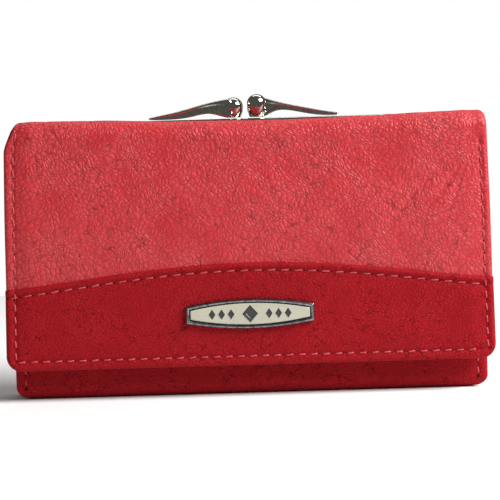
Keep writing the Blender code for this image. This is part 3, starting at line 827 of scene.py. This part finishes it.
def applied(piece, modifier):
    bpy.context.view_layer.objects.active = piece
    bpy.ops.object.modifier_apply(modifier=modifier.name)


def finish_edges(piece, width=0.0, levels=0, sharp=35):
    """Bevel a piece's sharp edges by width millimetres, round it by subdivision, and shade it."""
    if width:
        bevel = piece.modifiers.new("edges", "BEVEL")
        bevel.width = width * MM
        bevel.segments = 2
        bevel.angle_limit = math.radians(sharp)
        applied(piece, bevel)
    if levels:
        rounding = piece.modifiers.new("rounding", "SUBSURF")
        rounding.levels = rounding.render_levels = levels
        applied(piece, rounding)
    piece.data.shade_smooth()


def joined(name, *pieces):
    pick(*pieces)
    bpy.ops.object.join()
    pieces[0].name = name
    return pieces[0]


def nickel():
    """Polished nickel plate, with the faint smears and rubbed spots that fingers leave."""
    finish = Finish("polished_nickel", Metallic=1.0)
    smear = finish.noise(finish.stretched(finish.place, (1.0, 1.0, 0.35)), 3.5, 4.0)
    rubbed = finish.noise(finish.place, 0.9, 3.0)
    finish.feed(
        Base_Color=finish.blend(finish.step(rubbed, 0.35, 0.75), shade(NICKEL), shade(NICKEL_DULL)),
        Roughness=0.09 + 0.10 * finish.step(smear, 0.45, 0.75),
        Normal=finish.bump(rubbed, 0.015),
    )
    return finish.material


def plated(part, node, body_name):
    """Give a part its nickel plate, and put it in its node's place on a body."""
    lay(part, plate_metal, "polished_nickel", node)
    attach(part, body_name)


NICKEL = (0.60, 0.60, 0.54)
NICKEL_DULL = (0.44, 0.43, 0.38)
plate_metal = nickel()
RAIL_DEPTH = 3.2
RAIL_WIDE = 3.3
INNER_HALF = 48.8
INNER_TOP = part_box("front_jaw")[1].z / MM - RAIL_DEPTH
INNER_CORNER = 4.5
LEG_FOOT = 56.0
EAR_TOP = 58.5
EAR_RADIUS = 3.0
PIVOT_Y = 6.65
CHANNEL = (
    (-1.0, 0.0), (-1.0, 0.66), (-0.93, 0.86), (-0.72, 0.97), (-0.35, 1.0), (0.35, 1.0), (0.72, 0.97),
    (0.93, 0.86), (1.0, 0.66), (1.0, 0.0), (0.64, 0.0), (0.64, 0.62), (0.5, 0.78), (-0.5, 0.78),
    (-0.64, 0.62), (-0.64, 0.0),
)


def rail_path():
    """Points and outward directions along the inner edge of the frame, from foot to foot."""
    path = [(-INNER_HALF, z, -1.0, 0.0) for z in np.linspace(LEG_FOOT, INNER_TOP - INNER_CORNER, 10)]
    for turn in np.linspace(0, math.pi / 2, 10)[1:]:
        path.append((-INNER_HALF + INNER_CORNER * (1 - math.cos(turn)),
                     INNER_TOP - INNER_CORNER * (1 - math.sin(turn)), -math.cos(turn), math.sin(turn)))
    for x in np.linspace(-INNER_HALF + INNER_CORNER, 0, 14)[1:]:
        path.append((x, INNER_TOP, 0.0, 1.0))
    return path + [(-x, z, -out_x, out_z) for x, z, out_x, out_z in reversed(path[:-1])]


def ear(side, inner_x, outer_x, toward):
    """The flat tab at a leg's foot that the rivet goes through."""
    outline = [(PIVOT_Y + EAR_RADIUS * math.sin(a), HINGE_Z - EAR_RADIUS * math.cos(a))
               for a in np.linspace(-1.9, 1.9, 20)]
    before, after = (2.6, 0.1) if toward > 0 else (0.1, 2.6)
    outline += [(PIVOT_Y + before, EAR_TOP), (PIVOT_Y - after, EAR_TOP)]
    tab = drawn_through("ear", [[(side * x, y, z) for y, z in outline] for x in (inner_x, outer_x)])
    finish_edges(tab, 0.18)
    return tab


def rail(name, centre_y, ear_inner, ear_outer, toward):
    rings = [
        [(x + out_x * RAIL_DEPTH * rise, centre_y + RAIL_WIDE / 2 * over, z + out_z * RAIL_DEPTH * rise)
         for over, rise in CHANNEL]
        for x, z, out_x, out_z in rail_path()
    ]
    channel = drawn_through(name, rings)
    finish_edges(channel, 0.14, sharp=50)
    ears = [ear(side, ear_inner, ear_outer, toward) for side in (-1, 1)]
    return joined(name, channel, *ears)


FRONT_RAIL_Y, REAR_RAIL_Y = 4.8, 8.5
front_rail = rail("front_rail", FRONT_RAIL_Y, 50.2, 51.0, -1)
rear_rail = rail("rear_rail", REAR_RAIL_Y, 51.3, 52.1, 1)
for part, node, body_name in ((front_rail, "front_jaw", "root"), (rear_rail, "rear_jaw", "rear_jaw")):
    plated(part, node, body_name)


def full_turn(steps):
    return np.linspace(0, 2 * math.pi, steps, endpoint=False)


def turned(name, profile, place, axis, sides=40):
    """A round piece from its profile: pairs of radius and distance along the axis through place."""
    forward = Vector(axis)
    aside = forward.orthogonal().normalized()
    other = forward.cross(aside)
    rings = []
    for radius, along in profile:
        rings.append([
            tuple(Vector(place) + forward * along
                  + radius * (aside * math.cos(angle) + other * math.sin(angle)))
            for angle in full_turn(sides)
        ])
    piece = drawn_through(name, rings)
    piece.data.shade_smooth()
    return piece


RIVET = (
    (0.05, 0.0), (1.0, 0.06), (1.6, 0.26), (1.85, 0.52), (1.9, 0.7), (1.02, 0.74), (1.0, 3.26), (1.9, 3.30),
    (1.85, 3.48), (1.6, 3.74), (1.0, 3.94), (0.05, 4.0),
)
RIVET_INNER = 49.2
RIVET_LENGTH = 4.0
for side, side_name in SIDES:
    start = RIVET_INNER if side > 0 else -RIVET_INNER - RIVET_LENGTH
    rivet = turned("rivet_" + side_name, RIVET, (start, PIVOT_Y, HINGE_Z), (1, 0, 0), 32)
    plated(rivet, "hinge_rivet_" + side_name, "root")


# ---- Kiss-lock clasp ----
# A cast arm on each rail rises to a round-topped knob. The two knobs stand side by side and spring past
# each other. Arms and knobs are nickel-plated and polished like the frame.

FOOT_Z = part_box("front_clasp_arm")[0].z / MM
KNOB_RADIUS = 2.9
SECTION = (
    (-1.0, 0.04), (-1.0, 0.20), (-0.70, 0.30), (-0.62, 0.66), (-0.80, 0.84), (-0.55, 0.97), (0.0, 1.0),
    (0.55, 0.97), (0.88, 0.84), (1.0, 0.55), (1.0, 0.12), (0.8, 0.0), (-0.8, 0.0),
)
# Along each arm in millimetres: distance from the middle, underside and top above the foot, half thickness
FRONT_ARM = (
    (3.4, 0.0, 5.50, 1.20), (5.0, 0.0, 5.70, 1.22), (6.0, 0.1, 5.65, 1.22), (7.4, 0.55, 5.35, 1.20),
    (9.4, 1.15, 5.0, 1.17), (11.2, 1.4, 4.6, 1.14), (13.5, 1.1, 4.05, 1.10), (17.0, 0.25, 3.1, 1.05),
    (21.0, -0.1, 2.1, 1.0), (25.0, -0.15, 1.35, 0.95), (28.0, -0.1, 0.75, 0.9), (29.2, 0.1, 0.45, 0.6),
)
REAR_ARM = (
    (3.8, 0.0, 6.0, 1.20), (5.6, 0.0, 5.95, 1.22), (6.8, 0.3, 5.65, 1.22), (8.2, 1.1, 5.2, 1.20),
    (9.8, 1.75, 4.65, 1.17), (11.5, 1.95, 4.15, 1.14), (14.5, 1.65, 3.45, 1.10), (18.0, 0.85, 2.7, 1.05),
    (22.0, 0.1, 1.8, 1.0), (25.5, -0.1, 1.15, 0.95), (28.0, -0.1, 0.75, 0.9), (29.0, 0.1, 0.65, 0.6),
)


def clasp_arm(name, stations, side, knob_x, knob_top, arm_y):
    rings = []
    for away, low, high, half_y in stations:
        rings.append([
            (side * away, arm_y + half_y * over, FOOT_Z + low + (high - low) * up) for over, up in SECTION
        ])
    arm = drawn_through(name, rings)
    finish_edges(arm, levels=2)
    dome = [(KNOB_RADIUS * math.cos(a), knob_top - KNOB_RADIUS * 0.92 * (1 - math.sin(a)))
            for a in np.linspace(0.0, math.pi / 2 - 0.05, 12)]
    stem = [(0.05, FOOT_Z), (2.1, FOOT_Z), (2.35, FOOT_Z + 0.5), (2.5, FOOT_Z + 1.1),
            (KNOB_RADIUS - 0.08, FOOT_Z + 1.9)]
    knob = turned("knob", stem + dome, (knob_x, PIVOT_Y, 0.0), (0, 0, 1), 48)
    return joined(name, arm, knob)


for name, node, body_name, stations, side, knob_x, arm_y in (
    ("clasp_arm_front", "front_clasp_arm", "root", FRONT_ARM, -1, -3.3, FRONT_RAIL_Y),
    ("clasp_arm_rear", "rear_clasp_arm", "rear_jaw", REAR_ARM, 1, 3.8, REAR_RAIL_Y),
):
    arm = clasp_arm(name, stations, side, knob_x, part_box(node)[1].z / MM, arm_y)
    plated(arm, node, body_name)


# ---- Name plate, left plain ----
# A barrel-shaped bezel of dark nickel with a bevelled rim holds a satin enamel inlay. A row of plain
# lozenges stands on the inlay as its only ornament.

PLATE_LOW, PLATE_HIGH = corners("plate_bezel")
INLAY_LOW, INLAY_HIGH = corners("plate_inlay")
PLATE_HALF = (PLATE_HIGH.x - PLATE_LOW.x) / 2
PLATE_Z = (PLATE_HIGH.z + PLATE_LOW.z) / 2
PLATE_MID = (PLATE_HIGH.z - PLATE_LOW.z) / 2
PLATE_END = 2.6


def barrel(inset, y, steps=28):
    """The plate's outline, drawn in by inset: long sides bowed, short ends straight."""
    half = PLATE_HALF - inset
    ring = []
    for side in (1, -1):
        for x in np.linspace(side * half, -side * half, steps):
            bow = (PLATE_MID - PLATE_END) * (1 - (x / half) ** 2)
            ring.append((x, y, PLATE_Z + side * (PLATE_END - inset + bow)))
    return ring


def speckled(name, size, detail, first, second, rough, spread, depth=0.0, reach=None, lie=(1, 1, 1), **fixed):
    """A finish whose colour goes from first to second in fine spots."""
    finish = Finish(name, **fixed)
    spots = finish.noise(finish.stretched(finish.place, lie), size, detail)
    share = finish.step(spots, *reach) if reach else spots
    finish.feed(Base_Color=finish.blend(share, shade(first), shade(second)), Roughness=rough + spread * spots)
    if depth:
        finish.feed(Normal=finish.bump(spots, depth))
    return finish.material


BEZEL_STEPS = (
    (0.35, PLATE_HIGH.y), (0.05, PLATE_HIGH.y), (0.0, PLATE_HIGH.y - 0.15), (0.0, PLATE_LOW.y + 0.55),
    (0.32, PLATE_LOW.y + 0.10), (0.50, PLATE_LOW.y), (0.78, PLATE_LOW.y + 0.03), (0.98, PLATE_LOW.y + 0.22),
    (1.12, PLATE_LOW.y + 0.75), (1.30, PLATE_LOW.y + 0.78),
)
bezel = drawn_through("plate_rim", [barrel(inset, y) for inset, y in BEZEL_STEPS])
finish_edges(bezel, 0.06, sharp=25)
dark_nickel = speckled("dark_nickel", 1.6, 4.0, (0.30, 0.31, 0.32), (0.13, 0.135, 0.14), 0.20, 0.14, 0.02,
                       reach=(0.3, 0.7), Metallic=1.0)
lay(bezel, dark_nickel, "gunmetal", "plate_bezel")
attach(bezel, "flap")

INLAY_FACE = INLAY_LOW.y + 0.10
INLAY_STEPS = ((1.32, INLAY_HIGH.y), (1.30, INLAY_FACE + 0.12), (1.36, INLAY_FACE + 0.02), (1.62, INLAY_FACE))
inlay = drawn_through("plate_enamel", [barrel(inset, y) for inset, y in INLAY_STEPS])
inlay.data.shade_smooth()
cream = Finish("cream_enamel", Roughness=0.34, Coat_Weight=0.25, Coat_Roughness=0.2)
brushed = cream.noise(cream.stretched(cream.place, (0.08, 1.0, 1.0)), 0.22, 3.0)
cloud = cream.noise(cream.place, 9.0, 2.0)
cream.feed(
    Base_Color=cream.blend(cream.step(brushed * 0.4 + cloud * 0.6, 0.3, 0.7), shade((0.46, 0.445, 0.35)),
                           shade((0.50, 0.49, 0.385))),
    Normal=cream.bump(brushed, 0.012),
)
lay(inlay, cream.material, "enamel", "plate_inlay")
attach(inlay, "flap")

# Each lozenge: its place along the plate, half its width and half its height. Then how it is drawn out
# of the inlay: its scale, and its height over the face
LOZENGES = [(0.0, 2.3, 2.6)] + [(side * x, 1.0, 1.5) for side in (-1, 1) for x in (5.6, 8.4, 11.2)]
LOZENGE_STEPS = ((1.0, 0.05), (1.0, -0.06), (0.86, -0.11), (0.55, -0.11), (0.5, -0.04))
lozenges = []
for x, half_x, half_z in LOZENGES:
    lozenges.append(drawn_through("lozenge", [
        [(x + half_x * scale * over, INLAY_FACE + lift, PLATE_Z + half_z * scale * up)
         for over, up in ((1, 0), (0, 1), (-1, 0), (0, -1))]
        for scale, lift in LOZENGE_STEPS
    ]))
ornament = joined("plate_lozenges", *lozenges)


black = speckled("black_lacquer", 0.5, 3.0, (0.006, 0.006, 0.007), (0.02, 0.02, 0.021), 0.28, 0.12, 0.008,
                 Coat_Weight=0.5)
lay(ornament, black, "enamel")
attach(ornament, "flap")


# ---- Snap fastener ----
# A pressed nickel socket inside the flap closes on a stud on the front leather. Both are turned from one
# profile each, and plated like the frame.

SNAP_Z = 25.0
SOCKET = (
    (4.9, 0.15), (5.35, 0.05), (5.5, -0.2), (5.4, -0.5), (4.9, -0.75), (4.2, -0.8), (3.9, -1.1),
    (3.75, -1.45), (3.4, -1.6), (2.75, -1.6), (2.45, -1.45), (2.4, -1.2), (2.4, -0.4), (2.3, 0.0),
)
STUD = (
    (0.05, 0.0), (4.6, 0.0), (4.95, 0.1), (5.0, 0.25), (4.7, 0.42), (2.6, 0.5), (1.75, 0.62), (1.5, 0.9),
    (1.55, 1.15), (1.85, 1.45), (1.9, 1.7), (1.7, 1.95), (1.1, 2.15), (0.05, 2.2),
)
SOCKET_Y = -11.85
STUD_Y = -9.25


def pressed(name, profile, y):
    return turned(name, [(radius, -along) for radius, along in profile], (0, y, SNAP_Z), (0, 1, 0), 44)


socket = pressed("snap_mouth", SOCKET, SOCKET_Y)
stud = pressed("snap_post", STUD, STUD_Y)
for part, node, body_name in ((socket, "snap_socket", "flap"), (stud, "snap_stud", "root")):
    plated(part, node, body_name)


# ---- Stitching ----
# Twisted polyester thread of the hide's own red. Each stitch lies slightly across its seam and
# dips under the surface at both ends, where a dark disc of painted shade marks the needle hole.

THREAD_RADIUS = 0.23
HOLE_RADIUS = 0.56
HOLE_STEPS = ((1.0, -0.25), (1.0, 0.03), (0.62, 0.05), (0.3, -0.05))
STITCH_GAP = 1.3
STITCH_SLANT = 0.10


def master_stitch(length):
    """Half-buried thread along X, with Z outwards: a rounded bar whose ends dip under the surface."""
    rings = []
    for share in np.linspace(-1, 1, 9):
        thick = THREAD_RADIUS * math.sqrt(max(0.05, 1 - share ** 6)) * (1 + 0.06 * math.sin(9 * share))
        lift = 0.16 - 0.46 * abs(share) ** 3.5
        rings.append([(share * length / 2, thick * math.cos(a), lift + 0.85 * thick * math.sin(a))
                      for a in full_turn(8)])
    return drawn_through("stitch", rings)


def master_hole_shade():
    """A small dished disc of painted shade, standing for the shadow inside a needle hole."""
    return drawn_through("hole", [
        [(HOLE_RADIUS * share * math.cos(a), 0.8 * HOLE_RADIUS * share * math.sin(a), height)
         for a in full_turn(10)]
        for share, height in HOLE_STEPS
    ])


def sewn(name, master, places):
    """Copies of the master at each place: (point, direction along the seam, direction outwards)."""
    copies = []
    for point, ahead, outward in places:
        copy = master.copy()
        copy.data = master.data.copy()
        bpy.context.collection.objects.link(copy)
        outward = Vector(outward).normalized()
        ahead = Vector(ahead)
        ahead = (ahead - outward * ahead.dot(outward)).normalized()
        turn = Matrix((ahead, outward.cross(ahead), outward)).transposed().to_4x4()
        copy.data.transform(Matrix.Translation(Vector(point) * MM) @ turn)
        copies.append(copy)
    seam = joined(name, *copies)
    seam.data.shade_smooth()
    return seam


def seam_places(path, pitch):
    """Places for stitches and needle holes along a path: a function of the distance along it, which
    returns a point and the outward direction there, and its length."""
    surface, length = path
    count = int(length // pitch)
    stitches, holes = [], []
    for index in range(count + 1):
        here, outward = surface(index * pitch)
        ahead = Vector(surface(index * pitch + 0.2)[0]) - Vector(here)
        holes.append((here, ahead, outward))
        if index < count:
            middle, outward = surface((index + 0.5) * pitch)
            ahead = Vector(surface((index + 0.5) * pitch + 0.2)[0]) - Vector(middle)
            across = Vector(outward).cross(ahead).normalized()
            wobble = 0.05 * math.sin(index * 2.4)
            stitches.append((middle, ahead.normalized() + across * (STITCH_SLANT + wobble), outward))
    return stitches, holes


def at(value):
    return np.array([float(value)])


def on_flap(x, run):
    """A point on the face of the flap or of the band, and the outward direction there."""
    x, run = at(x), at(run)
    proud = band_face(x, run) if run[0] < band_top(x)[0] - 0.6 else flap_relief(x, run)
    spot = folded(x, proud + 0.02, run, FLAP_LOW.y, -1)
    turn = float(np.clip((run[0] - FOLD_START) / FOLD_RADIUS, 0, math.pi / 2))
    return tuple(float(part[0]) for part in spot), (0.0, -math.cos(turn), math.sin(turn))


def flap_side(side, inset, run_from):
    return lambda d: on_flap(side * (flap_half(run_from + d) - inset), run_from + d)


corner_z = FLAP_LOW.z + SEAM_BOTTOM
corner_x = FLAP_HALF - SEAM_LEFT
ARC_START, ARC_LENGTH = -71.4, 142.6
seams = (
    ((flap_side(-1, SEAM_LEFT, corner_z), FOLD_TOP - 1.0 - corner_z), STITCH_PITCH),
    ((flap_side(1, SEAM_RIGHT, corner_z), SEAM_RIGHT_TOP - corner_z), STITCH_PITCH),
    ((lambda d: on_flap(-corner_x + d, corner_z), 2 * corner_x + 0.6), STITCH_PITCH),
    ((lambda d: on_flap(ARC_START + d, float(band_top(at(ARC_START + d))[0]) - LIP), ARC_LENGTH), ARC_PITCH),
)
thread_finish = Finish("red_thread", Sheen_Weight=0.35, Sheen_Roughness=0.4)
twist = thread_finish.noise(thread_finish.place, 0.28, 2.0)
fade = thread_finish.noise(thread_finish.place, 6.0, 2.0)
thread_finish.feed(
    Base_Color=thread_finish.blend(thread_finish.step(twist * 0.6 + fade * 0.4, 0.3, 0.72),
                                   shade((0.42, 0.020, 0.030)), shade((0.60, 0.065, 0.08))),
    Roughness=0.42 + 0.2 * twist,
    Normal=thread_finish.bump(twist, 0.05),
)
# The needle holes' dark discs are painted shade, standing for the shadow inside each hole.
painted_hole_shade = speckled("needle_hole_painted_shade", 0.4, 2.0, (0.030, 0.001, 0.002), (0.070, 0.003, 0.004), 0.8, 0.1,
                     Specular_IOR_Level=0.1)


def sew(name, seams):
    """Sew every seam of a piece. Returns its thread and its needle holes as discs of painted shade, each as
    one piece.
    """
    threads, hole_shade_discs = [], []
    for path, pitch in seams:
        stitches, holes = seam_places(path, pitch)
        stitch = master_stitch(pitch - STITCH_GAP)
        threads.append(sewn("thread", stitch, stitches))
        bpy.data.objects.remove(stitch)
        hole = master_hole_shade()
        hole_shade_discs.append(sewn("hole_shade_discs", hole, holes))
        bpy.data.objects.remove(hole)
    thread = joined(name, *threads)
    hole_shade_piece = joined(name + "_holes", *hole_shade_discs)
    lay(thread, thread_finish.material, "thread")
    lay(hole_shade_piece, painted_hole_shade, "thread")
    return thread, hole_shade_piece


for part in sew("flap_thread", seams):
    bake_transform(part)


def on_front(x, z):
    relief = body_relief(at(x), at(z), FRONT_SEED) * smooth(at(z), 1.0, 6.0)
    return (x, BODY_LOW.y - float(relief[0]) + 0.13, z), (0.0, -1.0, 0.0)


def on_back(x, z):
    relief = body_relief(at(x), at(z), BACK_SEED)
    return (x, float((pouch_back(at(x), at(z)) + relief)[0]) - 0.13, z), (0.0, 1.0, 0.0)


BODY_SEAM_FOOT = 3.4
BODY_SEAM_LENGTH = 39.6


def beside_edge(surface, side):
    def place(d):
        z = BODY_SEAM_FOOT + d
        return surface(side * (float(body_half(at(z))[0]) - SIDE_SEAM), z)

    return place, BODY_SEAM_LENGTH


body_seams = [(beside_edge(surface, side), STITCH_PITCH)
              for surface in (on_front, on_back) for side in (-1, 1)]
for part in sew("body_thread", body_seams):
    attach(part, "root")


POCKET_SEAM_HALF = 66.0


def along_pocket(node):
    low, high = corners(node)
    middle = (low.y + high.y) / 2

    def surface(d):
        x, z = d - POCKET_SEAM_HALF, high.z - 2.6
        waves = 0.10 * float(soft_noise(at(x), low.y, at(z), POCKET_WAVES)[0])
        return (x, middle + waves - 0.20, z), (0.0, -1.0, 0.0)

    return surface, 2 * POCKET_SEAM_HALF


for part in sew("pocket_thread", [(along_pocket(node), STITCH_PITCH) for node in POCKETS]):
    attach(part, "root")


# ---- Board and washers, out of sight ----
# A grey board stiffens the flap, and the plate's and the snap's backs are held by small steel washers.
# They keep their shapes, with a finish of their own.

board = speckled("grey_board", 0.8, 4.0, (0.34, 0.31, 0.26), (0.50, 0.46, 0.39), 0.85, 0.1, 0.05,
                  lie=(1, 1, 0.3))
hidden = {"flap_stiffener": board, "plate_washer_left": plate_metal, "plate_washer_right": plate_metal,
          "snap_cap": plate_metal, "snap_stud_washer": plate_metal}
for node, material in hidden.items():
    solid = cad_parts[node]
    solid.data.materials.clear()
    solid.data.materials.append(material)


# ---- Camera ----
# A long lens, a little above the purse and turned slightly, which frames the flap from edge to edge.

VIEW_WIDTH = 147.4 * MM
LENS = 135.0
SENSOR = 36.0
distance = VIEW_WIDTH * LENS / SENSOR
elevation = math.radians(4.0)
roll = math.radians(-1.7)
aim = Vector((0.5 * MM, FLAP_LOW.y * MM, 43.6 * MM))
away = Vector((0.0, -math.cos(elevation), math.sin(elevation)))
bpy.ops.object.camera_add(location=aim + away * distance)
camera = bpy.context.object
camera.name = "camera"
camera.rotation_mode = "QUATERNION"
turn = Matrix.Rotation(roll, 3, away)
camera.rotation_quaternion = (turn @ away.to_track_quat("Z", "Y").to_matrix()).to_quaternion()
camera.data.lens = LENS
camera.data.sensor_width = SENSOR
bpy.context.scene.camera = camera


# ---- Floor and light ----
# A plain white floor, a big soft lamp high up on the right in front, a weak one above the back, and a
# dim, slightly warm room with a white backdrop.

FLOOR_RADIUS = 0.36
ROOM_GLOW = 0.12
bpy.ops.mesh.primitive_circle_add(vertices=96, radius=FLOOR_RADIUS, fill_type="NGON", location=(0, 0, 0))
floor = bpy.context.object
floor.name = "floor"
paper = Finish("white_floor", Base_Color=(0.9, 0.9, 0.9, 1.0), Roughness=0.9, Specular_IOR_Level=0.0)
floor.data.materials.append(paper.material)

world = bpy.data.worlds.new("studio")
world.use_nodes = True
nodes, links = world.node_tree.nodes, world.node_tree.links
room = nodes["Background"]
room.inputs["Color"].default_value = (1.0, 0.95, 0.90, 1.0)
room.inputs["Strength"].default_value = ROOM_GLOW
backdrop = nodes.new("ShaderNodeBackground")
backdrop.inputs["Color"].default_value = (1.0, 1.0, 1.0, 1.0)
backdrop.inputs["Strength"].default_value = 1.0
seen = nodes.new("ShaderNodeLightPath")
either = nodes.new("ShaderNodeMixShader")
links.new(seen.outputs["Is Camera Ray"], either.inputs[0])
links.new(room.outputs[0], either.inputs[1])
links.new(backdrop.outputs[0], either.inputs[2])
links.new(either.outputs[0], nodes["World Output"].inputs["Surface"])
bpy.context.scene.world = world


def soft_lamp(name, place, size, power, target=(0.0, 0.0, 0.05)):
    bpy.ops.object.light_add(type="AREA", location=place)
    lamp = bpy.context.object
    lamp.name = name
    lamp.data.shape = "RECTANGLE"
    lamp.data.size, lamp.data.size_y = size
    lamp.data.energy = power
    lamp.rotation_euler = (Vector(place) - Vector(target)).to_track_quat("Z", "Y").to_euler()


soft_lamp("overhead", (0.72, -0.38, 0.68), (0.7, 0.45), 20.5)
soft_lamp("rear_top", (0.1, 0.45, 0.9), (0.9, 0.25), 2.2)
bpy.context.scene.view_settings.view_transform = "Standard"
